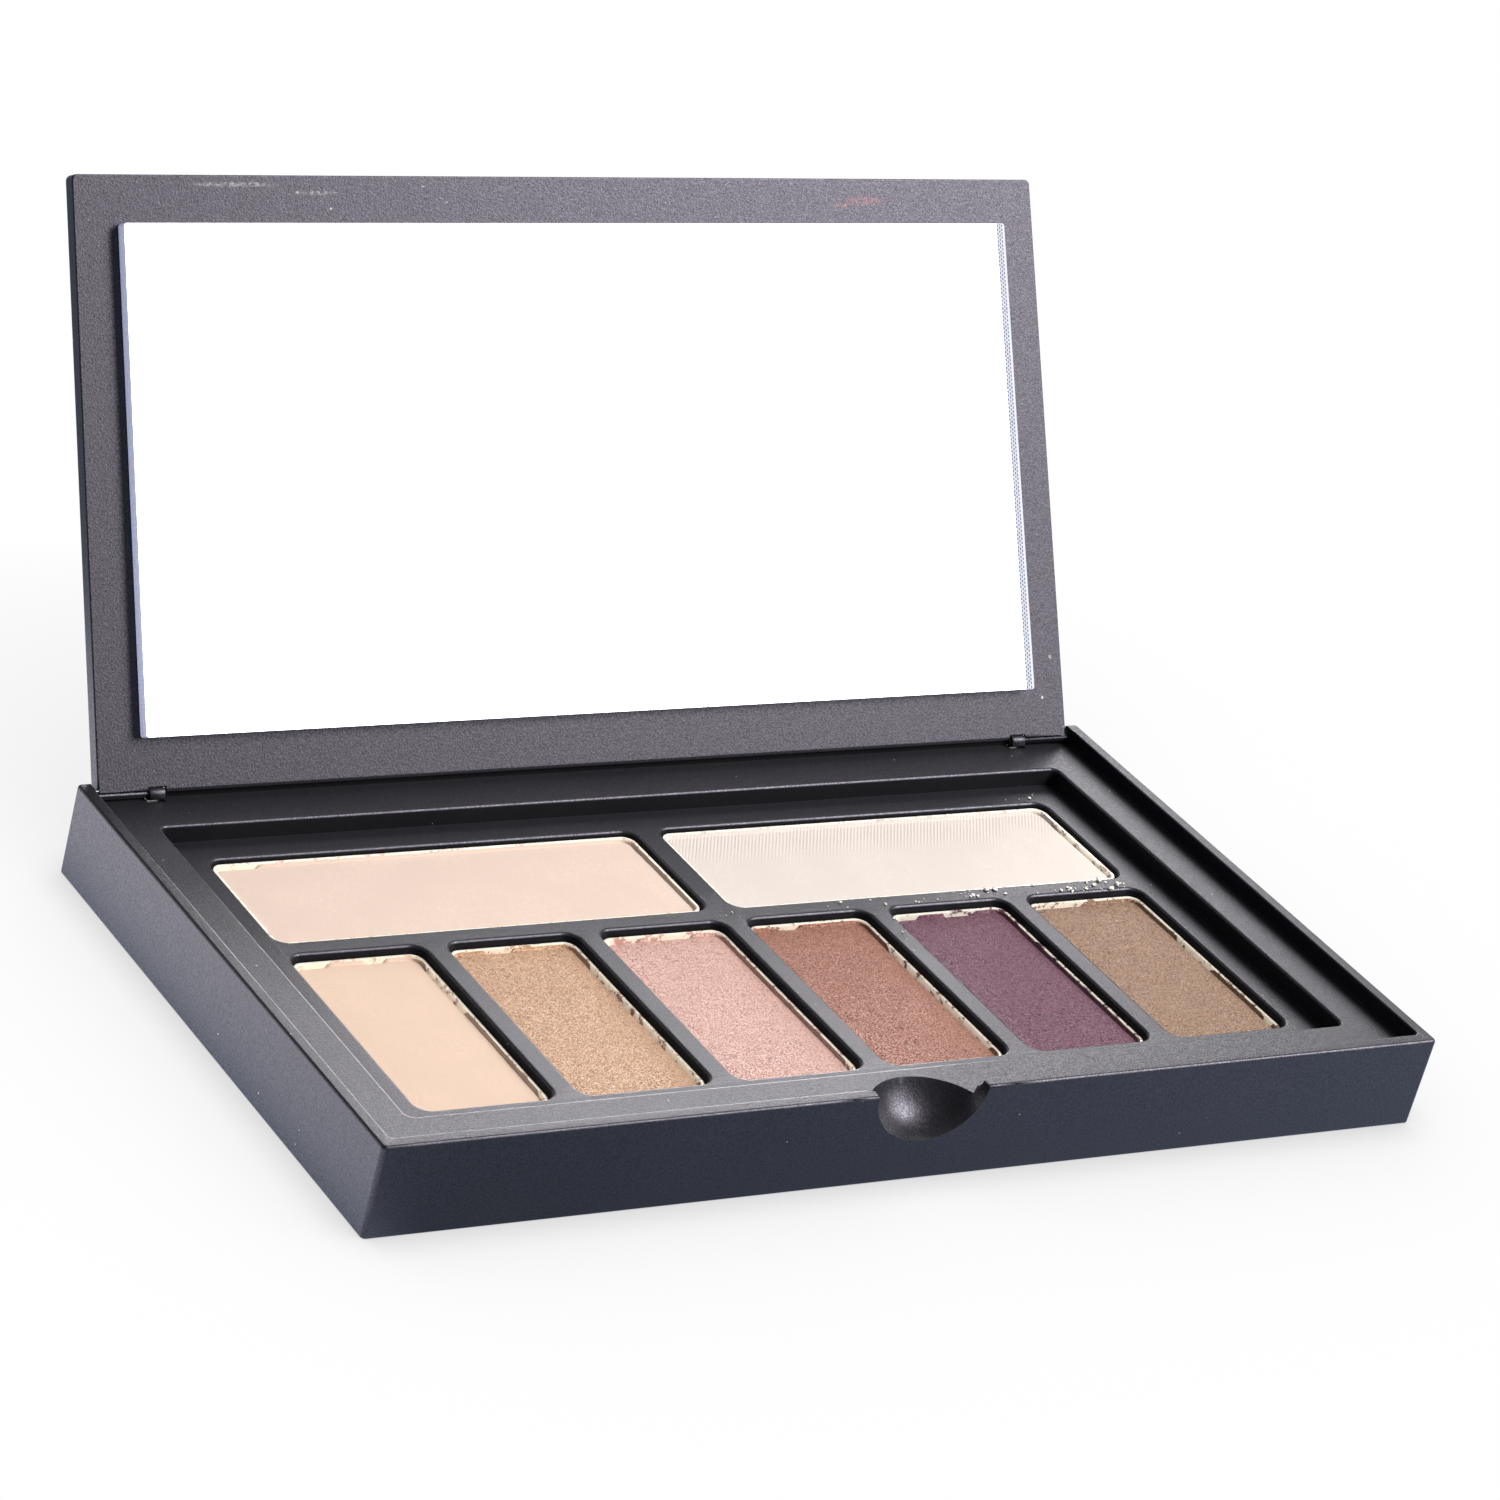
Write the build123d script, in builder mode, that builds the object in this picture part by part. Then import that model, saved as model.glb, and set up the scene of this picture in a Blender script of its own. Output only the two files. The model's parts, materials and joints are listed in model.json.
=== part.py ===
from build123d import *
import os
from math import cos, radians, sin

os.makedirs("parts", exist_ok=True)

# Eyeshadow palette, modelled with its lid standing open.
# Millimetres. Origin at the middle of the underside, +X to the user's right,
# +Y towards the hinge at the back, +Z up.

# Case
case_width = 120.0
case_depth = 62.0
case_height = 9.45
bottom_width = 119.5
bottom_depth = 61.8
edge_radius = 0.5
bottom_fillet = 0.2
top_fillet = 0.3
rim_inner_fillet = 0.22
soft_edge = 0.4
wall = 1.4
deck_z = 7.85
deck_thickness = 1.0
base_plate_thickness = 1.0

# Well that receives the mirror when the lid is shut
well_width = 107.1
well_depth = 49.6
well_y = 0.2
well_radius = 0.8
well_wall = 1.0

# Tray holding the pans
tray_z = 6
tray_plate = 1.0
tray_bottom = 2.25
pocket_floor = 3.05
opening_radius = 1.5
small_width = 14.55
small_depth = 25.9
small_pitch = 17.1
small_y = -8.4
large_width = 48.4
large_depth = 14.8
large_x = 25.65
large_y = 14.2

# Pans and powder
pan_gap = 0.25
pan_metal = 0.25
glue = 0.1
small_pan_height = 2.1
large_pan_height = 2.4
fill_below_rim = 0.35

# Thumb scoop in the front edge
scoop_x = -0.9
scoop_half_width = 6.3
scoop_radius = 5.25
relief_half_width = 7.5
relief_radius = 1.7
relief_y = -29.1
scoop_block_width = 15.8
scoop_block_back = -26.0
scoop_block_z = 3.15

# Hinge
axis_y = 30.15
axis_z = 8.35
open_angle = 120.8
ear_inner_x = 50.9
ear_outer_x = 52.5
ear_radius = 0.62
knuckle_x = 52.65
knuckle_radius = 0.35
pin_radius = 0.2
running_clearance = 0.05
pin_end_x = 57.5
hinge_gap = 0.15
back_wall_inner_y = 29.75
back_wall_top = 8.4
lip_channel_back_y = 30.3
ear_slot_front_y = 29.4

# Lid
lid_width = 116.1
lid_length = 58.8
lid_thickness = 1.5
lid_back = 0.55
lid_under = 0.45
lid_corner = 0.6
lid_inner_edge = 0.15
lip_reach = 0.1
lip_thickness = 0.5
lip_half_width = 50.6
lip_edge = 0.35
end_lip_reach = 0.35
end_lip_thickness = 0.25
end_lip_width = 5.2
end_lip_x = 55.25

# Friction beads for the closed lid, inside the front wall
bead_x = 35.0
bead_length = 6.0
bead_radius = 0.4
bead_y = -29.64
bead_z = 8.65

# Mirror
mirror_width = 106.6
mirror_length = 49.2
mirror_back = 4.75
mirror_glass = 1.2
mirror_glue = 0.1

front_y = -case_depth / 2
recess_front = front_y + wall
recess_back = back_wall_inner_y
inner_width = case_width - 2 * wall

back_y = case_depth / 2
knuckle_length = inner_width / 2 + 0.5 - knuckle_x
slot_width = knuckle_x - ear_inner_x + hinge_gap
slot_middle = knuckle_x - slot_width / 2
slot_depth = back_y + 1 - ear_slot_front_y
slot_z = axis_z - ear_radius - hinge_gap

# Pan positions as (x, y)
small_x = [small_pitch * (i - 2.5) for i in range(6)]
small_spots = [(x, small_y) for x in small_x]
large_spots = [(-large_x, large_y), (large_x, large_y)]

# Lid frame on the hinge axis: x across, y back past the hinge, z out of the
# lid's outer face. The free edge lies towards -y.
lid_frame = Plane(
    origin=(0, axis_y, axis_z),
    x_dir=(1, 0, 0),
    z_dir=(0, sin(radians(open_angle)), cos(radians(open_angle))),
)
lid_normal = Axis(lid_frame.origin, lid_frame.z_dir)
lid_free = -(lid_back + lid_length)
lid_middle = (lid_free - lid_back) / 2
lip_length = lid_back + 0.9 - lip_reach
lip_middle = -lip_reach - lip_length / 2
end_lip_length = lid_back + 0.9 - end_lip_reach
end_lip_middle = -end_lip_reach - end_lip_length / 2
mirror_middle = -(lid_back + mirror_back + mirror_length / 2)

# ------------------------------------------------------------------ case body
with BuildPart() as base_body:
    with BuildSketch(Plane.XY):
        RectangleRounded(bottom_width, bottom_depth, edge_radius)
    with BuildSketch(Plane.XY.offset(case_height)):
        RectangleRounded(case_width, case_depth, edge_radius)
    loft()
    fillet(base_body.faces().sort_by(Axis.Z)[0].edges(), bottom_fillet)
    fillet(base_body.faces().sort_by(Axis.Z)[-1].edges(), top_fillet)
    # recess the lid shuts into
    with BuildSketch(Plane.XY.offset(deck_z)):
        with Locations((0, (recess_front + recess_back) / 2)):
            RectangleRounded(inner_width, recess_back - recess_front, 0.5)
    extrude(amount=5, mode=Mode.SUBTRACT)
    rim_top = base_body.faces().sort_by(Axis.Z)[-1]
    fillet(rim_top.inner_wires()[0].edges(), rim_inner_fillet)
    # hollow underside with a rebate for the base plate
    with BuildSketch(Plane.XY):
        Rectangle(case_width - 3.6, case_depth - 3.6)
    extrude(amount=deck_z - deck_thickness, mode=Mode.SUBTRACT)
    with BuildSketch(Plane.XY):
        Rectangle(case_width - 2.8, case_depth - 2.8)
    extrude(amount=base_plate_thickness, mode=Mode.SUBTRACT)
    # material behind the thumb scoop
    with BuildSketch(Plane.XY.offset(scoop_block_z)):
        with Locations((scoop_x, (front_y + 1.0 + scoop_block_back) / 2)):
            Rectangle(scoop_block_width, scoop_block_back - front_y - 1.0)
    extrude(amount=deck_z - scoop_block_z - 0.5)
    # wall of the well
    with BuildSketch(Plane.XY.offset(tray_z)):
        with Locations((0, well_y)):
            RectangleRounded(well_width + 2 * well_wall, well_depth + 2 * well_wall, 1.8)
    extrude(amount=deck_z - tray_z)
    with BuildSketch(Plane.XY.offset(tray_z - 1)):
        with Locations((0, well_y)):
            RectangleRounded(well_width, well_depth, well_radius)
    extrude(amount=5, mode=Mode.SUBTRACT)
    deck = base_body.faces().filter_by_position(Axis.Z, deck_z - 0.01, deck_z + 0.01)
    fillet(deck.sort_by(SortBy.AREA)[-1].inner_wires()[0].edges(), soft_edge)
    # back wall lowered between the side walls
    with BuildSketch(Plane.XY.offset(back_wall_top)):
        with Locations((0, back_y)):
            Rectangle(inner_width, 3.2)
    extrude(amount=2, mode=Mode.SUBTRACT)
    # channel that the lid's lip turns in
    with BuildSketch(Plane.XY.offset(deck_z)):
        with Locations((0, lip_channel_back_y - 0.5)):
            Rectangle(inner_width, 1.0)
    extrude(amount=2, mode=Mode.SUBTRACT)
    # end knuckles, round about the hinge axis
    with BuildSketch(Plane.YZ.offset(knuckle_x)):
        with Locations((axis_y, axis_z)):
            Circle(knuckle_radius)
    extrude(amount=knuckle_length)
    with BuildSketch(Plane.YZ.offset(-knuckle_x)):
        with Locations((axis_y, axis_z)):
            Circle(knuckle_radius)
    extrude(amount=-knuckle_length)
    # slots for the lid's ears
    with BuildSketch(Plane.XY.offset(slot_z)):
        slot_spot_y = ear_slot_front_y + slot_depth / 2
        with Locations((-slot_middle, slot_spot_y), (slot_middle, slot_spot_y)):
            Rectangle(slot_width, slot_depth)
    extrude(amount=3, mode=Mode.SUBTRACT)
    # pin bores
    with BuildSketch(Plane.YZ.offset(knuckle_x - 1)):
        with Locations((axis_y, axis_z)):
            Circle(pin_radius)
    extrude(amount=pin_end_x - knuckle_x + 1, mode=Mode.SUBTRACT)
    with BuildSketch(Plane.YZ.offset(-pin_end_x)):
        with Locations((axis_y, axis_z)):
            Circle(pin_radius)
    extrude(amount=pin_end_x - knuckle_x + 1, mode=Mode.SUBTRACT)
    # thumb scoop
    with BuildSketch(Plane.XY.offset(case_height)):
        with Locations((scoop_x, front_y)):
            Ellipse(scoop_half_width, scoop_radius)
        with Locations((scoop_x, front_y - scoop_radius)):
            Rectangle(4 * scoop_half_width, 2 * scoop_radius, mode=Mode.SUBTRACT)
    revolve(axis=Axis((0, front_y, case_height), (1, 0, 0)), mode=Mode.SUBTRACT)
    # relief that thins the rim's ends beside the scoop
    with BuildSketch(Plane.XY.offset(case_height)):
        with Locations((scoop_x, relief_y)):
            Ellipse(relief_half_width, relief_radius)
        with Locations((scoop_x, relief_y - relief_radius)):
            Rectangle(4 * relief_half_width, 2 * relief_radius, mode=Mode.SUBTRACT)
    revolve(axis=Axis((0, relief_y, case_height), (1, 0, 0)), mode=Mode.SUBTRACT)
    # low beads inside the front wall, which the closing lid's free edge presses past
    for x in (-bead_x, bead_x):
        with BuildSketch(Plane.YZ.offset(x - bead_length / 2)):
            with Locations((bead_y, bead_z)):
                Circle(bead_radius)
        extrude(amount=bead_length)

# ----------------------------------------------------------------- base plate
with BuildPart() as base_plate:
    with BuildSketch(Plane.XY):
        Rectangle(case_width - 2.9, case_depth - 2.9)
    extrude(amount=base_plate_thickness)

# ------------------------------------------------------------------- pan tray
with BuildPart() as pan_tray:
    # plate closing the well
    with BuildSketch(Plane.XY.offset(tray_z - tray_plate)):
        with Locations((0, 0.4)):
            Rectangle(110.0, 52.0)
    extrude(amount=tray_plate)
    # pocket block
    with BuildSketch(Plane.XY.offset(tray_bottom)):
        with Locations((0, 0.15)):
            RectangleRounded(102.0, 44.6, 3.0)
    extrude(amount=tray_z - tray_plate - tray_bottom)
    # skirt standing on the base plate
    with BuildSketch(Plane.XY.offset(base_plate_thickness)):
        with Locations((0, 0.4)):
            Rectangle(110.0, 52.0)
            Rectangle(108.0, 50.0, mode=Mode.SUBTRACT)
    extrude(amount=tray_z - tray_plate - base_plate_thickness)
    # openings
    with BuildSketch(Plane.XY.offset(pocket_floor)):
        with Locations(*small_spots):
            RectangleRounded(small_width, small_depth, opening_radius)
        with Locations(*large_spots):
            RectangleRounded(large_width, large_depth, opening_radius)
    extrude(amount=tray_z, mode=Mode.SUBTRACT)
    tray_top = pan_tray.faces().sort_by(Axis.Z)[-1]
    fillet([edge for wire in tray_top.inner_wires() for edge in wire.edges()], soft_edge)

# ------------------------------------------------------- pans, powder and glue
pan_floor_z = pocket_floor + glue
pan_plan = [
    ("back_left", -large_x, large_y, large_width, large_depth, large_pan_height),
    ("back_right", large_x, large_y, large_width, large_depth, large_pan_height),
]
for i, x in enumerate(small_x):
    pan_plan.append((f"front_{i + 1}", x, small_y, small_width, small_depth, small_pan_height))

for name, x, y, width, depth, height in pan_plan:
    pan_w = width - 2 * pan_gap
    pan_d = depth - 2 * pan_gap
    fill_w = pan_w - 2 * pan_metal
    fill_d = pan_d - 2 * pan_metal
    pan_r = opening_radius - pan_gap
    fill_r = pan_r - pan_metal
    with BuildPart() as pan:
        with BuildSketch(Plane.XY.offset(pan_floor_z)):
            with Locations((x, y)):
                RectangleRounded(pan_w, pan_d, pan_r)
        extrude(amount=height)
        with BuildSketch(Plane.XY.offset(pan_floor_z + pan_metal)):
            with Locations((x, y)):
                RectangleRounded(fill_w, fill_d, fill_r)
        extrude(amount=height, mode=Mode.SUBTRACT)
    with BuildPart() as powder:
        with BuildSketch(Plane.XY.offset(pan_floor_z + pan_metal)):
            with Locations((x, y)):
                RectangleRounded(fill_w, fill_d, fill_r)
        extrude(amount=height - pan_metal - fill_below_rim)
        chamfer(powder.faces().sort_by(Axis.Z)[-1].edges(), 0.12)
    pan.part.label = f"pan_{name}"
    powder.part.label = f"powder_{name}"
    export_step(pan.part, f"parts/pan_{name}.step")
    export_step(powder.part, f"parts/powder_{name}.step")

with BuildPart() as pan_glue:
    with BuildSketch(Plane.XY.offset(pocket_floor)):
        with Locations(*small_spots):
            Circle(4.0)
        with Locations(*large_spots):
            SlotOverall(30.0, 8.0)
    extrude(amount=glue)

# ------------------------------------------------------------------------ lid
with BuildPart() as lid_lip:
    with BuildSketch(lid_frame.offset(-lid_under)):
        with Locations((0, lip_middle)):
            Rectangle(2 * lip_half_width, lip_length)
    extrude(amount=lip_thickness)
    under_face = lid_lip.faces().sort_by(lid_normal)[0]
    fillet(under_face.edges().sort_by(Axis(lid_frame.origin, lid_frame.y_dir))[-1], lip_edge)

with BuildPart() as lid_plate:
    with BuildSketch(lid_frame.offset(-lid_under)):
        with Locations((0, lid_middle)):
            RectangleRounded(lid_width, lid_length, lid_corner)
    extrude(amount=lid_thickness)
    fillet(lid_plate.faces().sort_by(lid_normal)[-1].edges(), 0.3)
    fillet(lid_plate.faces().sort_by(lid_normal)[0].edges(), lid_inner_edge)
    # lips that fill the gap above the lowered back wall
    add(lid_lip.part)
    with BuildSketch(lid_frame.offset(-lid_under)):
        with Locations((-end_lip_x, end_lip_middle), (end_lip_x, end_lip_middle)):
            Rectangle(end_lip_width, end_lip_length)
    extrude(amount=end_lip_thickness)
    # ears that turn on the pins
    with BuildSketch(Plane.YZ.offset(ear_inner_x)):
        with Locations((axis_y, axis_z)):
            Circle(ear_radius)
    extrude(amount=ear_outer_x - ear_inner_x)
    with BuildSketch(Plane.YZ.offset(-ear_outer_x)):
        with Locations((axis_y, axis_z)):
            Circle(ear_radius)
    extrude(amount=ear_outer_x - ear_inner_x)
    with BuildSketch(Plane.YZ.offset(ear_inner_x - 0.2)):
        with Locations((axis_y, axis_z)):
            Circle(pin_radius + running_clearance)
    extrude(amount=ear_outer_x - ear_inner_x + 0.4, mode=Mode.SUBTRACT)
    with BuildSketch(Plane.YZ.offset(-ear_outer_x - 0.2)):
        with Locations((axis_y, axis_z)):
            Circle(pin_radius + running_clearance)
    extrude(amount=ear_outer_x - ear_inner_x + 0.4, mode=Mode.SUBTRACT)

# --------------------------------------------------------------------- mirror
with BuildPart() as mirror_adhesive:
    with BuildSketch(lid_frame.offset(-lid_under)):
        with Locations((0, mirror_middle)):
            Rectangle(mirror_width - 4, mirror_length - 4)
    extrude(amount=-mirror_glue)

with BuildPart() as mirror:
    with BuildSketch(lid_frame.offset(-lid_under - mirror_glue)):
        with Locations((0, mirror_middle)):
            RectangleRounded(mirror_width, mirror_length, 0.6)
    extrude(amount=-mirror_glass)
    chamfer(mirror.faces().sort_by(lid_normal)[0].edges(), 0.15)

# ----------------------------------------------------------------- hinge pins
with BuildPart() as hinge_pin_left:
    with BuildSketch(Plane.YZ.offset(-pin_end_x)):
        with Locations((axis_y, axis_z)):
            Circle(pin_radius)
    extrude(amount=pin_end_x - ear_inner_x)

with BuildPart() as hinge_pin_right:
    with BuildSketch(Plane.YZ.offset(ear_inner_x)):
        with Locations((axis_y, axis_z)):
            Circle(pin_radius)
    extrude(amount=pin_end_x - ear_inner_x)

base_body.part.label = "base_body"
base_plate.part.label = "base_plate"
pan_tray.part.label = "pan_tray"
pan_glue.part.label = "pan_glue"
lid_plate.part.label = "lid_plate"
mirror_adhesive.part.label = "mirror_adhesive"
mirror.part.label = "mirror"
hinge_pin_left.part.label = "hinge_pin_left"
hinge_pin_right.part.label = "hinge_pin_right"

export_step(base_body.part, "parts/base_body.step")
export_step(base_plate.part, "parts/base_plate.step")
export_step(pan_tray.part, "parts/pan_tray.step")
export_step(pan_glue.part, "parts/pan_glue.step")
export_step(lid_plate.part, "parts/lid_plate.step")
export_step(mirror_adhesive.part, "parts/mirror_adhesive.step")
export_step(mirror.part, "parts/mirror.step")
export_step(hinge_pin_left.part, "parts/hinge_pin_left.step")
export_step(hinge_pin_right.part, "parts/hinge_pin_right.step")
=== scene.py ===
import json
import math
import random

import bmesh
import bpy
from mathutils import Matrix, Vector, noise


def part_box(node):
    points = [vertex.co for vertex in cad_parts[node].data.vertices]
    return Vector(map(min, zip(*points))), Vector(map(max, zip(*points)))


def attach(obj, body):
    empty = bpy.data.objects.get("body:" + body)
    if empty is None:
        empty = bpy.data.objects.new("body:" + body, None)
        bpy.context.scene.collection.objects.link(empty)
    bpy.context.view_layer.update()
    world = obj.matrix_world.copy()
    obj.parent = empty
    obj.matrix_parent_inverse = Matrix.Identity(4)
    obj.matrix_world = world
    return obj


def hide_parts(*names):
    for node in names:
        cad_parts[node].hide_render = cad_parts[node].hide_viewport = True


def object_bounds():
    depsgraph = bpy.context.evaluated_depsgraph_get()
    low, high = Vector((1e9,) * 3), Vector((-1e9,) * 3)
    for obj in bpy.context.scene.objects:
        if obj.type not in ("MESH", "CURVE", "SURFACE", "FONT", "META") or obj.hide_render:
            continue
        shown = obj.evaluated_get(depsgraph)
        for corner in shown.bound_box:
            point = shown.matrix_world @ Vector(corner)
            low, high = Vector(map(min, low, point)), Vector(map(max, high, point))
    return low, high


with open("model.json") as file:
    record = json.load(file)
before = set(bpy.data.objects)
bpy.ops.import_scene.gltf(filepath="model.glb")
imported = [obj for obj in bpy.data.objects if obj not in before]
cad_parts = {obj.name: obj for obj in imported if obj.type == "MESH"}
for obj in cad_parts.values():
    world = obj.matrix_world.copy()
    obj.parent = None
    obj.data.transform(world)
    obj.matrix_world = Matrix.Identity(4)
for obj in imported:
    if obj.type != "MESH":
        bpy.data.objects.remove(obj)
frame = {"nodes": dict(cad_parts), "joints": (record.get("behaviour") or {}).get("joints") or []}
cad_low, cad_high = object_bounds()

MM = 0.001
BASE, LID = "base", "lid"
NODES = frame["nodes"]
scene = bpy.context.scene
scene.view_settings.view_transform = "Standard"


# ------------------------------------------------------------------ node tools
class Tree:
    """A material or world node tree, built with short calls. Distances are in mm."""

    def __init__(self, owner):
        owner.use_nodes = True
        self.tree = owner.node_tree
        self.tree.nodes.clear()
        self.place = None

    def add(self, kind, values=None, **settings):
        node = self.tree.nodes.new("ShaderNode" + kind)
        for key, value in settings.items():
            setattr(node, key, value)
        for key, value in (values or {}).items():
            socket = node.inputs[key]
            if isinstance(value, bpy.types.NodeSocket):
                self.tree.links.new(value, socket)
            elif isinstance(value, bpy.types.Node):
                self.tree.links.new(value.outputs[0], socket)
            elif hasattr(value, "__len__") and len(value) == 3 and socket.type == "RGBA":
                socket.default_value = (*value, 1.0)
            else:
                socket.default_value = value
        return node

    def out(self, kind, socket, value):
        node = self.tree.nodes.new("ShaderNode" + kind)
        self.tree.links.new(value if isinstance(value, bpy.types.NodeSocket) else value.outputs[0],
                            node.inputs[socket])
        return node

    def mm(self):
        """Rest position in mm: every piece's object origin is the frame's origin."""
        if self.place is None:
            at = self.add("TexCoord").outputs["Object"]
            self.place = self.add("VectorMath", {0: at, "Scale": 1 / MM}, operation="SCALE").outputs[0]
        return self.place

    def axes(self):
        split = self.add("SeparateXYZ", {0: self.mm()})
        return split.outputs[0], split.outputs[1], split.outputs[2]

    def math(self, operation, a, b=0.0, c=0.0, clamp=False):
        return self.add("Math", {0: a, 1: b, 2: c}, operation=operation, use_clamp=clamp).outputs[0]

    def noise(self, per_mm, detail=2.0, rough=0.5, at=None):
        return self.add("TexNoise", {"Vector": at or self.mm(), "Scale": per_mm, "Detail": detail,
                                     "Roughness": rough}).outputs["Fac"]

    def cells(self, per_mm, output="Distance", randomness=1.0, feature="F1", at=None):
        return self.add("TexVoronoi", {"Vector": at or self.mm(), "Scale": per_mm,
                                       "Randomness": randomness}, feature=feature).outputs[output]

    def ramp(self, value, low, high, out_low=0.0, out_high=1.0, smooth=True):
        return self.add("MapRange", {"Value": value, "From Min": low, "From Max": high,
                                     "To Min": out_low, "To Max": out_high},
                        interpolation_type="SMOOTHSTEP" if smooth else "LINEAR").outputs[0]

    def mix(self, factor, a, b):
        node = self.tree.nodes.new("ShaderNodeMix")
        node.data_type = "RGBA"
        for socket, value in ((node.inputs[0], factor), (node.inputs[6], a), (node.inputs[7], b)):
            if isinstance(value, bpy.types.NodeSocket):
                self.tree.links.new(value, socket)
            elif socket.type == "RGBA":
                socket.default_value = (*value, 1.0)
            else:
                socket.default_value = value
        return node.outputs[2]

    def bump(self, height, strength, distance, normal=None):
        values = {"Height": height, "Strength": strength, "Distance": distance * MM}
        if normal is not None:
            values["Normal"] = normal
        return self.add("Bump", values).outputs[0]


def srgb(red, green, blue):
    """Linear colour of an 8-bit screen colour."""
    return tuple(((v / 255 + 0.055) / 1.055) ** 2.4 if v > 10 else v / 255 / 12.92
                 for v in (red, green, blue))


# ------------------------------------------------------------------- materials
# the case's inside and its thumb scoop, in mm
INNER_HALF_WIDTH, INNER_FRONT = 58.7, -29.7
SCOOP_X, SCOOP_HALF_WIDTH, SCOOP_BACK = -0.9, 6.5, -25.6


def plastic(name, marks=(), shade_recesses=False, tint=(0.009, 0.009, 0.0115), rough=0.36):
    """Soft-touch moulded plastic: fine grain, faint clouding, powder dust and handling marks, and on request
    painted shade on the walls inside the case.

    Each mark is (place in mm, half sizes in mm, colour, strength)."""
    material = bpy.data.materials.new(name)
    t = Tree(material)
    grain = t.noise(7.0, 3.0, 0.7)
    clouds = t.noise(0.09, 3.0, 0.6)
    colour = t.mix(t.ramp(grain, 0.3, 0.7), tuple(0.72 * c for c in tint), tuple(1.35 * c for c in tint))
    colour = t.mix(t.ramp(clouds, 0.4, 0.75, 0.0, 0.3), colour, (0.017, 0.0155, 0.018))
    specks = t.math("LESS_THAN", t.cells(0.55), 0.045)
    spread = t.ramp(t.noise(0.22, 1.0), 0.52, 0.62)
    colour = t.mix(t.math("MULTIPLY", specks, spread), colour, (0.45, 0.40, 0.38))
    broken = t.ramp(t.noise(2.6, 4.0, 0.75), 0.42, 0.62)
    for place, sizes, shade, strength in marks:
        away = t.add("VectorMath", {0: t.mm(), 1: place}, operation="SUBTRACT").outputs[0]
        away = t.add("VectorMath", {0: away, 1: tuple(1 / v for v in sizes)}, operation="MULTIPLY").outputs[0]
        reach = t.add("VectorMath", {0: away}, operation="LENGTH").outputs["Value"]
        amount = t.math("MULTIPLY", t.ramp(reach, 0.4, 1.0, strength, 0.0), broken)
        colour = t.mix(amount, colour, shade)
    fine = t.bump(t.noise(9.0, 2.0, 0.6), 0.4, 0.02)
    normal = t.bump(t.cells(4.5), 0.4, 0.02, fine)
    gloss = t.ramp(t.noise(5.5, 2.0, 0.9), 0.32, 0.68, 0.26, 0.74, False)
    roughness = t.ramp(t.noise(3.0, 3.0, 0.7), 0.3, 0.7, rough - 0.05, rough + 0.07)
    values = {"Base Color": colour, "Roughness": roughness, "Normal": normal, "IOR": 1.5,
              "Specular Tint": (0.91, 0.84, 1.0), "Specular IOR Level": gloss, "Sheen Weight": 0.03}
    if shade_recesses:
        # painted shade: the walls inside the case lose nearly all their gloss, so they read as dark as shaded
        # recesses; the scoop is left out
        x, y, _ = t.axes()
        facing = t.add("SeparateXYZ", {0: t.add("NewGeometry").outputs["Normal"]}).outputs[2]
        inside = t.math("MULTIPLY", t.math("LESS_THAN", t.math("ABSOLUTE", x), INNER_HALF_WIDTH),
                        t.math("GREATER_THAN", y, INNER_FRONT))
        from_scoop = t.math("ABSOLUTE", t.math("SUBTRACT", x, SCOOP_X))
        scoop = t.math("MULTIPLY", t.math("LESS_THAN", from_scoop, SCOOP_HALF_WIDTH),
                       t.math("LESS_THAN", y, SCOOP_BACK))
        inside = t.math("SUBTRACT", inside, t.math("MULTIPLY", inside, scoop))
        recess_shade = t.math("MULTIPLY", inside, t.ramp(facing, 0.75, 0.35))
        values["Specular IOR Level"] = t.math("MULTIPLY", gloss, t.math("MULTIPLY_ADD", recess_shade, -0.94, 1.0))
    shader = t.add("BsdfPrincipled", values)
    t.out("OutputMaterial", "Surface", shader)
    return material


def metal(name, dust):
    """Thin stamped tin of a pan, with powder of the pan's own colour smeared on its rim, and a painted glow
    on the bare tin.
    """
    material = bpy.data.materials.new(name)
    t = Tree(material)
    brushed = t.noise(3.0, 3.0, 0.6)
    tin = t.mix(brushed, (0.95, 0.86, 0.66), (1.0, 0.98, 0.90))
    smear = t.ramp(t.noise(1.1, 4.0, 0.65), 0.50, 0.62)
    rough = t.math("MULTIPLY_ADD", smear, 0.4, 0.34)
    normal = t.bump(t.noise(2.4, 3.0), 0.5, 0.06)
    metallic = t.math("MULTIPLY_ADD", smear, -0.45, 0.45)
    # painted glow: the bare tin emits a little light in its own colour so the rims read bright; where powder
    # is smeared the glow fades
    painted_glow = t.math("MULTIPLY_ADD", smear, -0.30, 0.30)
    shader = t.add("BsdfPrincipled", {"Base Color": t.mix(smear, tin, dust), "Metallic": metallic,
                                      "Roughness": rough, "Normal": normal,
                                      "Emission Color": tin, "Emission Strength": painted_glow})
    t.out("OutputMaterial", "Surface", shader)
    return material


RIB_SLANT, RIB_PITCH = 0.68, 0.42


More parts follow.
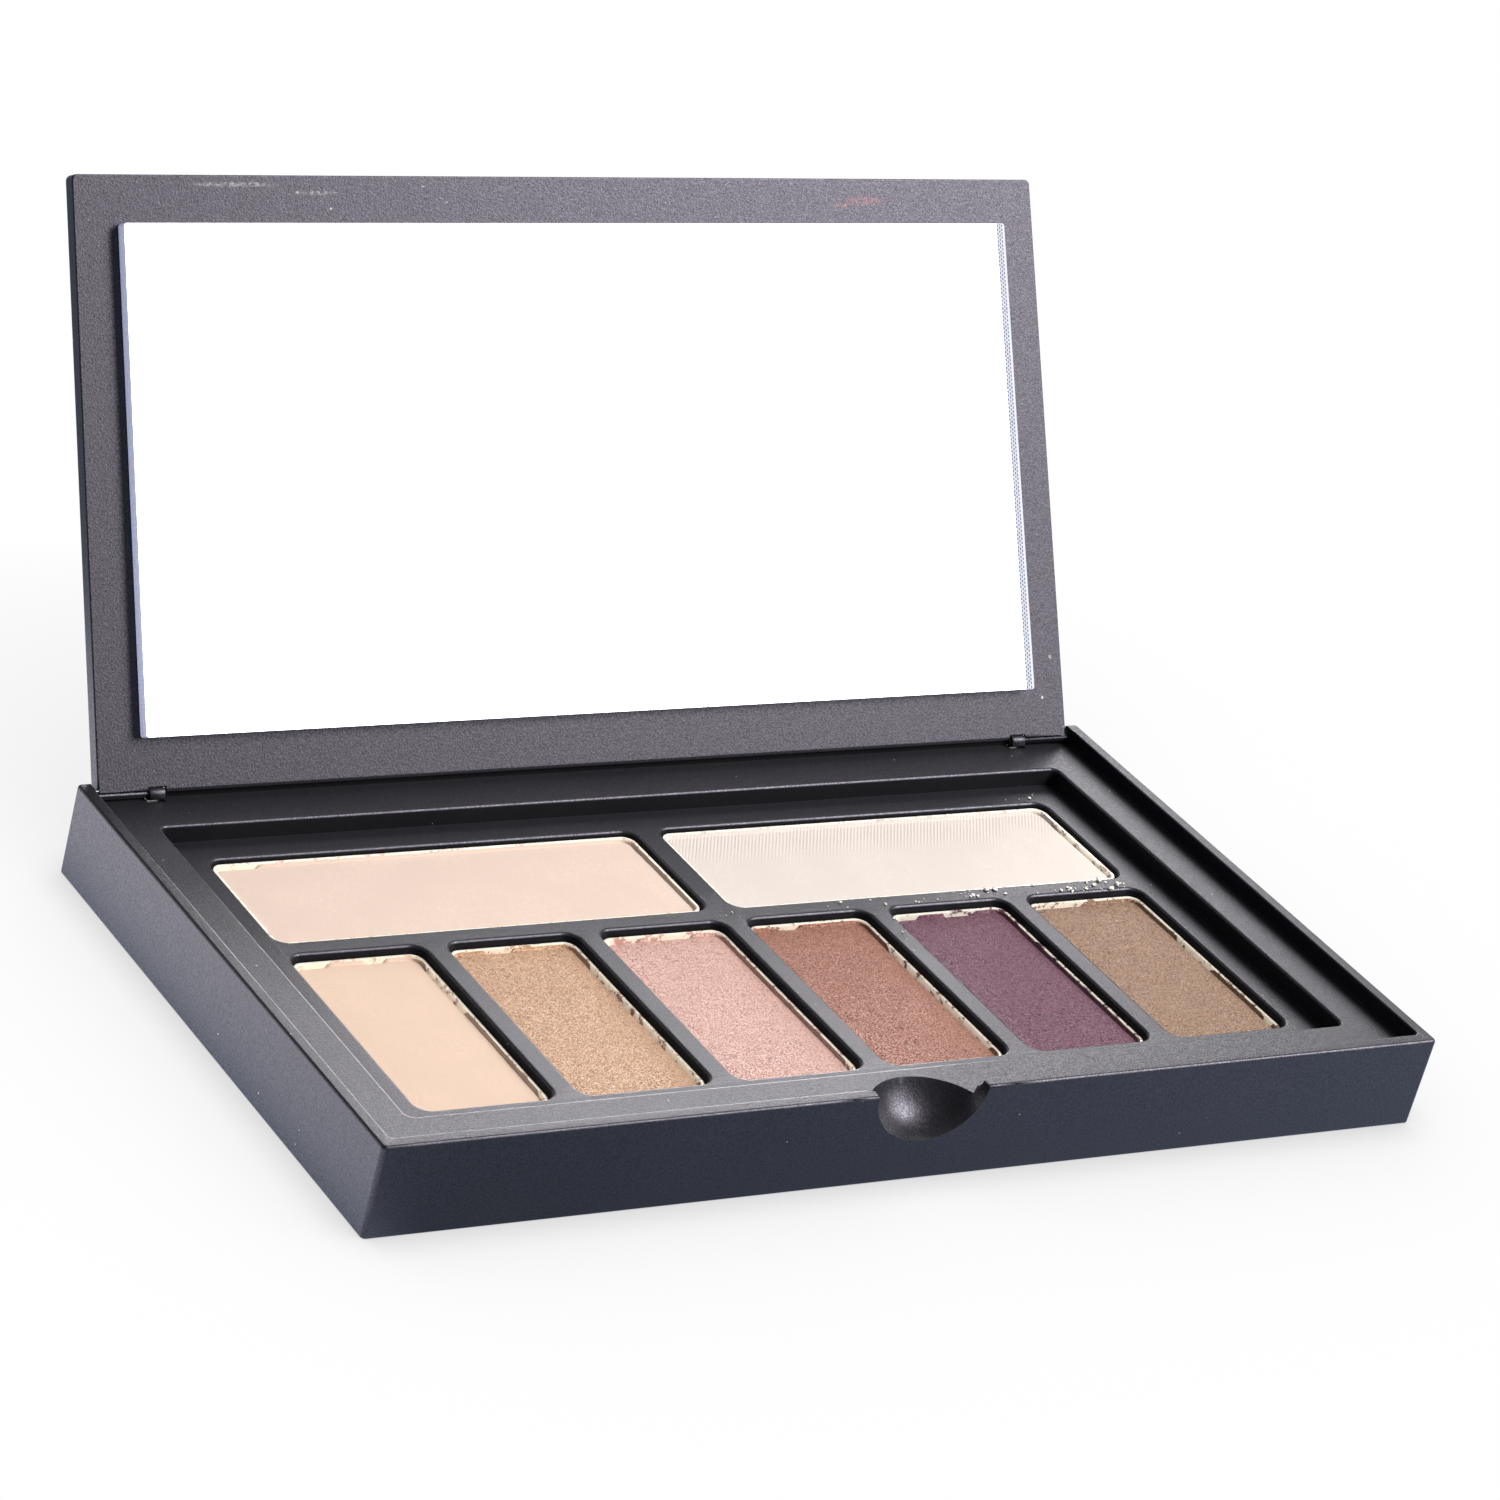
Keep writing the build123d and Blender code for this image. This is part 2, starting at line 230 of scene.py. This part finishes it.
def powder(name, colour, shimmer=0.0, ribs=0.0):
    """Pressed powder: matte and finely granular, with metallic flecks when it shimmers."""
    material = bpy.data.materials.new(name)
    t = Tree(material)
    darker = tuple(c * 0.97 for c in colour)
    lighter = tuple(min(1.0, c * 1.03) for c in colour)
    patches = t.ramp(t.noise(0.16, 3.0, 0.55), 0.35, 0.68)
    base = t.mix(patches, darker, lighter)
    grit = t.ramp(t.noise(4.5, 3.0, 0.8), 0.35, 0.65)
    low = 0.94 - 0.5 * shimmer
    base = t.mix(grit, tuple(c * low for c in colour), base)
    if shimmer:
        fleck = t.cells(6.0, "Color")
        lucky = t.ramp(t.add("SeparateXYZ", {0: fleck}).outputs[0], 0.55, 1.0, 0.0, 0.55 * shimmer + 0.1)
        base = t.mix(lucky, base, tuple(min(1.0, 1.55 * c + 0.05) for c in colour))
    heights = t.noise(9.0, 3.0, 0.7)
    normal = t.bump(heights, 0.35, 0.03)
    if ribs:
        across, back, _ = t.axes()
        slant = t.math("MULTIPLY_ADD", back, -RIB_SLANT, across)
        wave = t.math("SINE", t.math("MULTIPLY", slant, 2 * math.pi / RIB_PITCH))
        where = t.math("MULTIPLY", t.ramp(back, 14.0, 19.5), t.ramp(t.noise(0.2, 1.0), 0.3, 0.5))
        wave = t.math("MULTIPLY", wave, where)
        normal = t.bump(wave, ribs, 0.03, normal)
        base = t.mix(t.ramp(wave, 0.0, 1.0, 0.0, 0.4), base, tuple(c * 0.9 for c in colour))
    values = {"Base Color": base, "Roughness": 0.75, "Normal": normal, "Specular IOR Level": 0.25,
              "Sheen Weight": 0.08, "Sheen Roughness": 0.5}
    if shimmer:
        flake = t.cells(9.0, "Color")
        tilt = t.add("VectorMath", {0: flake, 1: (0.5, 0.5, 0.5)}, operation="SUBTRACT").outputs[0]
        tilted = t.add("VectorMath", {0: normal, 1: tilt}, operation="ADD").outputs[0]
        tilted = t.add("VectorMath", {0: tilted}, operation="NORMALIZE").outputs[0]
        chosen = t.math("GREATER_THAN", t.noise(4.0, 2.0), 0.5)
        values["Metallic"] = t.math("MULTIPLY", chosen, shimmer)
        values["Roughness"] = 0.45
        values["Normal"] = tilted
    shader = t.add("BsdfPrincipled", values)
    t.out("OutputMaterial", "Surface", shader)
    return material


STRIP_WIDTH, STRIP_CLEAR = 1.13, 0.32
DOT_COLUMN, DOT_ROW = 0.27, 0.42


def silver(name, up_lid, strip_at):
    """Polished mirror seen through clear glass, with a trace of haze and a glowing painted strip of dots
    along its right side.
    """
    material = bpy.data.materials.new(name)
    t = Tree(material)
    haze = t.ramp(t.noise(0.05, 3.0), 0.45, 0.8)
    colour = t.mix(haze, (0.995, 0.995, 1.0), (0.97, 0.98, 0.99))
    mirror_face = t.add("BsdfGlossy", {"Color": colour, "Roughness": 0.0})
    # the ground edge shows through the glass along the right side as rows of dots, painted as a glowing
    # strip: emitted light stands in for the lit edge and the reflection around the dots
    x, y, z = t.axes()
    along = t.math("MULTIPLY_ADD", y, up_lid.y, t.math("MULTIPLY", z, up_lid.z))
    across = t.math("SUBTRACT", strip_at, x)
    column = t.math("MULTIPLY", across, 1 / DOT_COLUMN)
    stagger = t.math("MULTIPLY", t.math("FLOOR", column), 0.5)
    dx = t.math("SUBTRACT", t.math("FRACT", column), 0.5)
    dy = t.math("SUBTRACT", t.math("FRACT", t.math("MULTIPLY_ADD", along, 1 / DOT_ROW, stagger)), 0.5)
    gap = t.math("SQRT", t.math("ADD", t.math("MULTIPLY", dx, dx), t.math("MULTIPLY", dy, dy)))
    gap = t.math("MULTIPLY_ADD", t.noise(3.0, 2.0), 0.3, gap)
    inner = t.math("GREATER_THAN", across, STRIP_CLEAR)
    dots = t.mix(t.math("MULTIPLY", t.ramp(gap, 0.62, 0.42), inner), (0.93, 0.94, 1.0), (0.27, 0.31, 0.44))
    ground = t.add("Emission", {"Color": dots, "Strength": 1.0})
    strip = t.math("LESS_THAN", across, STRIP_WIDTH)
    shader = t.add("MixShader", {0: strip, 1: mirror_face.outputs[0], 2: ground.outputs[0]})
    t.out("OutputMaterial", "Surface", shader)
    return material


def ground_glass(name):
    """Ground edge of the mirror glass, pale blue with a fine grit, with a painted glow."""
    material = bpy.data.materials.new(name)
    t = Tree(material)
    grit = t.ramp(t.noise(6.0, 3.0, 0.7), 0.3, 0.7)
    colour = t.mix(grit, (0.52, 0.56, 0.86), (0.80, 0.83, 1.0))
    normal = t.bump(grit, 0.4, 0.03)
    # painted glow: the edge emits a little light in its own colour so it reads bright
    shader = t.add("BsdfPrincipled", {"Base Color": colour, "Roughness": 0.35, "Normal": normal,
                                      "Emission Color": colour, "Emission Strength": 0.25})
    t.out("OutputMaterial", "Surface", shader)
    return material


def steel(name):
    """Drawn steel wire with fine lines along its surface."""
    material = bpy.data.materials.new(name)
    t = Tree(material)
    lines = t.noise(6.0, 2.0)
    colour = t.mix(lines, (0.42, 0.42, 0.44), (0.62, 0.62, 0.64))
    shader = t.add("BsdfPrincipled", {"Base Color": colour, "Metallic": 1.0, "Roughness": 0.32,
                                      "Normal": t.bump(lines, 0.2, 0.02)})
    t.out("OutputMaterial", "Surface", shader)
    return material


def adhesive(name):
    """Set glue, yellowish and a little lumpy."""
    material = bpy.data.materials.new(name)
    t = Tree(material)
    lumps = t.noise(1.2, 3.0)
    colour = t.mix(lumps, (0.55, 0.52, 0.46), (0.72, 0.70, 0.64))
    shader = t.add("BsdfPrincipled", {"Base Color": colour, "Roughness": 0.5,
                                      "Normal": t.bump(lumps, 0.4, 0.05)})
    t.out("OutputMaterial", "Surface", shader)
    return material


def cover(piece, *materials):
    """Gives a piece its materials; its faces keep the material numbers they have."""
    numbers = [face.material_index for face in piece.data.polygons]
    piece.data.materials.clear()
    for material in materials:
        piece.data.materials.append(material)
    for face, number in zip(piece.data.polygons, numbers):
        face.material_index = min(number, len(materials) - 1)


# ------------------------------------------------------------------ mesh tools
def piece_from(name, mesh_data, materials, body, replaced=()):
    """Turns a bmesh, in metres in the shared frame, into a piece that rides on a body."""
    mesh = bpy.data.meshes.new(name)
    bmesh.ops.recalc_face_normals(mesh_data, faces=mesh_data.faces)
    mesh_data.to_mesh(mesh)
    mesh_data.free()
    piece = bpy.data.objects.new(name, mesh)
    scene.collection.objects.link(piece)
    cover(piece, *materials)
    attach(piece, body)
    if replaced:
        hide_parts(*replaced)
    return piece


def rounded_loop(half_x, half_y, radius, per_corner, along_x, along_y):
    """Points of a rounded rectangle, counter-clockwise, always the same number of them."""
    radius = max(radius, 1e-6)
    points = []
    straight = (along_y, along_x, along_y, along_x)
    centres = ((half_x - radius, half_y - radius), (radius - half_x, half_y - radius),
               (radius - half_x, radius - half_y), (half_x - radius, radius - half_y))
    for corner in range(4):
        cx, cy = centres[corner]
        for k in range(per_corner + 1):
            angle = math.pi / 2 * (corner + k / per_corner)
            points.append((cx + radius * math.cos(angle), cy + radius * math.sin(angle)))
        nx, ny = centres[(corner + 1) % 4]
        angle = math.pi / 2 * (corner + 1)
        start = points[-1]
        end = (nx + radius * math.cos(angle), ny + radius * math.sin(angle))
        count = straight[(corner + 1) % 4]
        for k in range(1, count):
            points.append((start[0] + (end[0] - start[0]) * k / count,
                           start[1] + (end[1] - start[1]) * k / count))
    return points


def bridge(mesh_data, lower, upper):
    """Joins two loops of equal length with a band of faces."""
    count = len(lower)
    for k in range(count):
        mesh_data.faces.new((lower[k], lower[(k + 1) % count], upper[(k + 1) % count], upper[k]))


def soft_edges(node, width, segments=2, angle=32.0):
    """Rounds a CAD node's sharp arrises a little, the way moulded ones are, without touching its mesh."""
    piece = NODES[node]
    weld = piece.modifiers.new("join_faces", "WELD")
    weld.merge_threshold = 1e-6
    bevel = piece.modifiers.new("soft_edges", "BEVEL")
    bevel.width = width * MM
    bevel.segments = segments
    bevel.limit_method = "ANGLE"
    bevel.angle_limit = math.radians(angle)
    bevel.use_clamp_overlap = True
    shade = piece.modifiers.new("even_shading", "WEIGHTED_NORMAL")
    shade.keep_sharp = False


# ------------------------------------------------------------------ pans
# Each pan: powder colour, shimmer, ribs and the places where the powder has come away
# from the metal, as (side, start, end) in shares of that side.
SHADES = {
    "back_left": (srgb(223, 200, 185), 0.0, 0.0, (("back", 0.02, 0.10),)),
    "back_right": (srgb(218, 206, 198), 0.0, 0.4, (("right", 0.1, 0.8),)),
    "front_1": (srgb(224, 196, 175), 0.0, 0.0,
                (("back", 0.1, 0.28), ("back", 0.6, 0.72), ("right", 0.62, 0.92), ("right", 0.0, 0.06))),
    "front_2": (srgb(198, 158, 128), 0.15, 0.0, (("right", 0.05, 0.85), ("back", 0.3, 0.5))),
    "front_3": (srgb(209, 166, 154), 0.12, 0.0,
                (("back", 0.0, 0.3), ("back", 0.4, 0.75), ("right", 0.0, 0.07))),
    "front_4": (srgb(158, 108, 90), 0.3, 0.0, (("back", 0.2, 0.42), ("right", 0.08, 0.8))),
    "front_5": (srgb(109, 68, 85), 0.3, 0.0, (("back", 0.0, 0.25), ("back", 0.5, 0.75))),
    "front_6": (srgb(151, 119, 97), 0.42, 0.0,
                (("back", 0.03, 0.5), ("right", 0.45, 0.7), ("right", 0.05, 0.12))),
}
# insets, in mm, of the rings of points near a cake's edge, and how many more fill its middle
EDGE_STEPS = (0.0, 0.05, 0.11, 0.17, 0.24, 0.34, 0.5, 0.8, 1.3)
INNER_RINGS = 12


def came_away(chips, x, y, half_x, half_y, seed):
    """1 where the powder has left the metal, 0 where it still climbs it, ragged in between."""
    deepest = 0.0
    for side, start, end in chips:
        if side == "back":
            near, share, length = half_y - y, (x + half_x) / (2 * half_x), 2 * half_x
        else:
            near, share, length = half_x - x, (y + half_y) / (2 * half_y), 2 * half_y
        if near > 1.4 * MM:
            continue
        ragged = 0.5 * MM * noise.noise(Vector((x / MM * 1.3, y / MM * 1.3, seed)))
        inside = min(share - start, end - share) * length + ragged
        deepest = max(deepest, min(1.0, max(0.0, inside / (0.25 * MM) + 0.5)))
    return deepest


def powder_cake(name, half_x, half_y, radius, centre, rim_z, top_z, floor_z, chips, seed, material,
                replaced):
    """A pressed cake with a crease inside the rim, a lip that climbs the metal, and chips."""
    shape = bmesh.new()
    along_x, along_y = max(8, round(2 * half_x / MM / 0.45)), max(8, round(2 * half_y / MM / 0.45))
    rings = []
    lip, crease = rim_z - top_z - 0.10 * MM, -0.07 * MM

    def height(x, y, inset):
        gone = came_away(chips, x, y, half_x, half_y, seed)
        wobble = 0.03 * MM * noise.noise(Vector((x / MM * 0.9, y / MM * 0.9, seed + 7)))
        climb = max(0.0, 1 - inset / (0.11 * MM)) * lip * (1 - gone)
        dip = crease * math.exp(-((inset - 0.19 * MM) / (0.09 * MM)) ** 2)
        lost = -0.45 * MM * gone * max(0.0, 1 - inset / (0.36 * MM))
        crown = 0.05 * MM * min(1.0, inset / (2.0 * MM))
        wave = 0.035 * MM * noise.noise(Vector((x / MM * 0.16, y / MM * 0.16, seed + 3)))
        grit = 0.010 * MM * noise.noise(Vector((x / MM * 1.9, y / MM * 1.9, seed + 5)))
        return top_z + climb + dip + lost + crown + wave + grit + wobble * max(0.0, 1 - inset / MM)

    for inset in EDGE_STEPS:
        d = inset * MM
        loop = rounded_loop(half_x - d, half_y - d, max(radius - d, 0.35 * MM), 8, along_x, along_y)
        rings.append([shape.verts.new((centre[0] + x, centre[1] + y, height(x, y, d))) for x, y in loop])
    d = EDGE_STEPS[-1] * MM
    last = rounded_loop(half_x - d, half_y - d, 0.5 * MM, 8, along_x, along_y)
    for k in range(1, INNER_RINGS):
        scale = 1 - k / INNER_RINGS
        rings.append([shape.verts.new((centre[0] + x * scale, centre[1] + y * scale,
                                       height(x * scale, y * scale, 3 * MM))) for x, y in last])
    bottom = [shape.verts.new((v.co.x, v.co.y, floor_z)) for v in rings[0]]
    bridge(shape, bottom, rings[0])
    for outer, inner in zip(rings, rings[1:]):
        bridge(shape, outer, inner)
    shape.faces.new(rings[-1])
    shape.faces.new(list(reversed(bottom)))
    for face in shape.faces:
        face.smooth = True
    return piece_from(name, shape, (material,), BASE, replaced)


for index, (spot, (colour, shimmer, ribs, chips)) in enumerate(SHADES.items()):
    node = "powder_" + spot
    low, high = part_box(node)
    pan_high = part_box("pan_" + spot)[1]
    powder_material = powder(node + "_pressed", colour, shimmer, ribs)
    centre = ((low.x + high.x) / 2, (low.y + high.y) / 2)
    shy = 0.01 * MM
    powder_cake("cake_" + spot, (high.x - low.x) / 2 - shy, (high.y - low.y) / 2 - shy, 1.2 * MM, centre,
                pan_high.z, high.z, low.z, chips, 11.3 * index, powder_material, (node,))
    cover(NODES["pan_" + spot], metal("pan_metal_" + spot, colour))
    soft_edges("pan_" + spot, 0.05)


def crumbs(name, patches, material):
    """Loose crumbs of powder on the tray: (x, y, spread_x, spread_y, how many, largest, level), in mm."""
    rng = random.Random(41)
    shape = bmesh.new()
    for x, y, spread_x, spread_y, count, largest, level in patches:
        for _ in range(count):
            radius = largest * (0.25 + 0.75 * rng.random() ** 3)
            spot = Vector((x + rng.uniform(-spread_x, spread_x), y + rng.uniform(-spread_y, spread_y),
                           level + 0.45 * radius))
            made = bmesh.ops.create_icosphere(shape, subdivisions=2, radius=radius * MM)["verts"]
            squash = Vector((rng.uniform(0.7, 1.3), rng.uniform(0.7, 1.3), rng.uniform(0.5, 0.8)))
            for vert in made:
                bulge = 1 + 0.45 * noise.noise(vert.co / (radius * MM) * 1.3 + spot)
                vert.co = Vector([c * q * bulge for c, q in zip(vert.co, squash)]) + spot * MM
    return piece_from(name, shape, (material,), BASE)


# ------------------------------------------------------------------ case
case_plastic = plastic("case_plastic", shade_recesses=True)
for node in ("base_body", "base_plate", "pan_tray"):
    cover(NODES[node], case_plastic)
soft_edges("base_body", 0.14)
soft_edges("pan_tray", 0.14)
soft_edges("lid_plate", 0.16)
soft_edges("base_plate", 0.10)

tray_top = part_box("pan_tray")[1].z / MM
CRUMBS = (
    (20.0, 5.7, 11.0, 0.8, 16, 0.24, tray_top),
    (38.0, 5.7, 10.0, 0.8, 26, 0.34, tray_top),
    (44.0, 5.2, 5.0, 0.5, 16, 0.26, tray_top),
    (17.1, 0.0, 0.9, 4.0, 7, 0.16, tray_top),
    (48.0, 22.6, 2.5, 0.6, 5, 0.20, tray_top),
    (0.0, 5.6, 2.0, 0.8, 4, 0.20, tray_top),
)
crumbs("powder_crumbs", CRUMBS, powder("powder_crumbs_loose", srgb(252, 246, 236)))
pin_steel = steel("pin_steel_drawn")
for node in ("hinge_pin_left", "hinge_pin_right"):
    cover(NODES[node], pin_steel)
clear_glue = adhesive("clear_glue")
for node in ("pan_glue", "mirror_adhesive"):
    cover(NODES[node], clear_glue)

# ------------------------------------------------------------------ mirror
hinge = frame["joints"][0]
hinge_at = Vector(hinge["pos_m"])
open_turn = math.radians(-hinge["range_deg"][0])
up_lid = Vector((0, -math.cos(open_turn), math.sin(open_turn)))
out_lid = Vector((0, math.sin(open_turn), math.cos(open_turn)))


def lid_point(x, up, out):
    """x across, up along the open lid from the hinge, out through its outer face."""
    return Vector((x, hinge_at.y, hinge_at.z)) + up_lid * up + out_lid * out


# handling marks on the lid: across and up the lid, half sizes, all in mm, colour and strength
LID_MARKS = (
    (36.0, 57.0, (3.6, 0.55), srgb(150, 70, 62), 0.75),
    (33.0, 56.5, (1.4, 0.4), srgb(160, 84, 70), 0.6),
    (-40.0, 58.4, (6.0, 0.35), srgb(214, 208, 205), 0.35),
    (-30.5, 57.6, (3.0, 0.25), srgb(214, 208, 205), 0.3),
    (-33.0, 57.6, (0.25, 0.22), srgb(235, 228, 222), 1.0),
    (-29.2, 56.0, (0.2, 0.2), srgb(235, 228, 222), 1.0),
    (-18.4, 58.2, (0.25, 0.2), srgb(235, 228, 222), 0.9),
    (56.6, 8.6, (0.25, 0.25), srgb(235, 228, 222), 1.0),
    (55.2, 4.4, (0.22, 0.22), srgb(235, 228, 222), 1.0),
)
# the lid's inner face lies this far inward of the hinge axis
INNER_FACE = -0.45 * MM
lid_marks = [(tuple(lid_point(x * MM, up * MM, INNER_FACE) / MM), (wide, high, high), shade, strength)
             for x, up, (wide, high), shade, strength in LID_MARKS]
cover(NODES["lid_plate"], plastic("lid_plastic", lid_marks))


def lid_box(node):
    """The node's box in the lid's own directions: (x, up, out) lowest and highest."""
    spots = [v.co - hinge_at for v in NODES[node].data.vertices]
    rows = [(p.x, p.dot(up_lid), p.dot(out_lid)) for p in spots]
    return [min(r[k] for r in rows) for k in range(3)], [max(r[k] for r in rows) for k in range(3)]


def mirror_slab():
    """The mirror glass: a plate with ground arrises and silver on its inner face."""
    (x0, up0, out0), (x1, up1, out1) = lid_box("mirror")
    half_x, half_up, middle = (x1 - x0) / 2, (up1 - up0) / 2, (up1 + up0) / 2
    arris = 0.05 * MM
    shape = bmesh.new()
    rings = []
    for inset, out in ((arris, out1), (0, out1 - arris), (0, out0 + arris), (arris, out0)):
        loop = rounded_loop(half_x - inset, half_up - inset, 0.3 * MM, 6, 60, 30)
        rings.append([shape.verts.new(lid_point(x, middle + y, out)) for x, y in loop])
    for a, b in zip(rings, rings[1:]):
        bridge(shape, a, b)
    shape.faces.new(rings[0])
    front = shape.faces.new(list(reversed(rings[-1])))
    front.material_index = 1
    materials = (ground_glass("mirror_ground_edge"), silver("mirror_silver", up_lid, x1 / MM))
    piece_from("mirror_glass", shape, materials, LID, ("mirror",))


mirror_slab()

# ------------------------------------------------------------------ stage
floor_shape = bmesh.new()
FLOOR = 3.0
for corner in ((-FLOOR, -FLOOR), (FLOOR, -FLOOR), (FLOOR, FLOOR), (-FLOOR, FLOOR)):
    floor_shape.verts.new((*corner, cad_low.z))
floor_shape.faces.new(list(floor_shape.verts))
floor_mesh = bpy.data.meshes.new("studio_floor")
floor_shape.to_mesh(floor_mesh)
floor_shape.free()
floor = bpy.data.objects.new("studio_floor", floor_mesh)
scene.collection.objects.link(floor)
floor_material = bpy.data.materials.new("studio_floor_white")
floor_material.cycles.emission_sampling = "NONE"
t = Tree(floor_material)
path = t.add("LightPath")
seen = t.math("MAXIMUM", path.outputs["Is Camera Ray"], path.outputs["Is Singular Ray"])
wide = t.add("AmbientOcclusion", {"Distance": 0.060}, samples=8).outputs["AO"]
tight = t.add("AmbientOcclusion", {"Distance": 0.004}, samples=8).outputs["AO"]
shade = t.math("MULTIPLY", t.ramp(wide, 0.0, 1.0, 0.70, 1.0, False),
               t.ramp(tight, 0.0, 1.0, 0.72, 1.0, False))
visible = t.add("Emission", {"Color": (1, 1, 1), "Strength": shade})
x_mm, y_mm, _ = t.axes()
beside = t.math("MULTIPLY", t.ramp(x_mm, -52.0, -68.0), t.ramp(x_mm, -150.0, -100.0))
along = t.math("MULTIPLY", t.ramp(y_mm, -110.0, 30.0, 0.45, 1.0), t.ramp(y_mm, 95.0, 50.0))
patch = t.math("MULTIPLY", beside, along)
glow = t.math("MULTIPLY_ADD", patch, 2.35, t.ramp(x_mm, -40.0, 110.0, 0.50, 1.15, False))
lighting = t.add("Emission", {"Color": t.mix(patch, (0.66, 0.80, 1.05), (0.95, 0.95, 1.0)), "Strength": glow})
both = t.add("MixShader", {0: seen, 1: lighting.outputs[0], 2: visible.outputs[0]})
t.out("OutputMaterial", "Surface", both)
floor.data.materials.append(floor_material)

world = bpy.data.worlds.new("studio")
scene.world = world
t = Tree(world)
path = t.add("LightPath")
seen = t.math("MAXIMUM", path.outputs["Is Camera Ray"], path.outputs["Is Singular Ray"])
strength = t.math("MULTIPLY_ADD", seen, 0.87, 0.18)
t.out("OutputWorld", "Surface", t.add("Background", {"Color": (1, 1, 1), "Strength": strength}))


def softbox(name, towards, distance, size_x, size_y, radiance, colour=(1, 1, 1)):
    """A soft area light in the given direction from the object, facing it."""
    light = bpy.data.lights.new(name, "AREA")
    light.shape = "RECTANGLE"
    light.size, light.size_y = size_x, size_y
    light.energy = radiance * math.pi * size_x * size_y
    light.color = colour
    lamp = bpy.data.objects.new(name, light)
    scene.collection.objects.link(lamp)
    direction = Vector(towards).normalized()
    lamp.location = Vector((0, 0, 0.02)) + direction * distance
    lamp.rotation_mode = "QUATERNION"
    lamp.rotation_quaternion = direction.to_track_quat("Z", "Y")
    lamp.visible_camera = False
    return lamp


softbox("key_top", (0.62, -0.33, 0.71), 0.9, 0.4, 0.4, 21.0)
softbox("key_back", (0.555, 0.78, 0.50), 1.0, 0.45, 0.45, 5.5)
softbox("key_front", (0.66, -0.58, 0.44), 1.0, 0.6, 0.4, 5.4)
softbox("key_left", (-0.75, 0.6, 0.16), 0.9, 0.8, 0.4, 1.6)

# ------------------------------------------------------------------ camera
CAMERA_AT = (-0.3102, -0.3702, 0.25605)
CAMERA_TURN = (71.23, -13.00, -29.39)
CAMERA_LENS = 133.3
CAMERA_SHIFT = (0.2033, -0.5408)
camera_data = bpy.data.cameras.new("camera")
camera_data.lens = CAMERA_LENS
camera_data.clip_start, camera_data.clip_end = 0.01, 20.0
camera = bpy.data.objects.new("camera", camera_data)
camera.location = CAMERA_AT
camera.rotation_euler = [math.radians(a) for a in CAMERA_TURN]
scene.collection.objects.link(camera)
scene.camera = camera
for channel, amount in zip(("shift_x", "shift_y"), CAMERA_SHIFT):
    # the shift holds only while the camera stands here, so another view stays centred
    driver = camera_data.driver_add(channel).driver
    driver.type = "SCRIPTED"
    place = driver.variables.new()
    place.name = "x"
    place.type = "TRANSFORMS"
    place.targets[0].id = camera
    place.targets[0].transform_type = "LOC_X"
    driver.expression = f"{amount} if abs(x - {CAMERA_AT[0]}) < 0.0001 else 0.0"
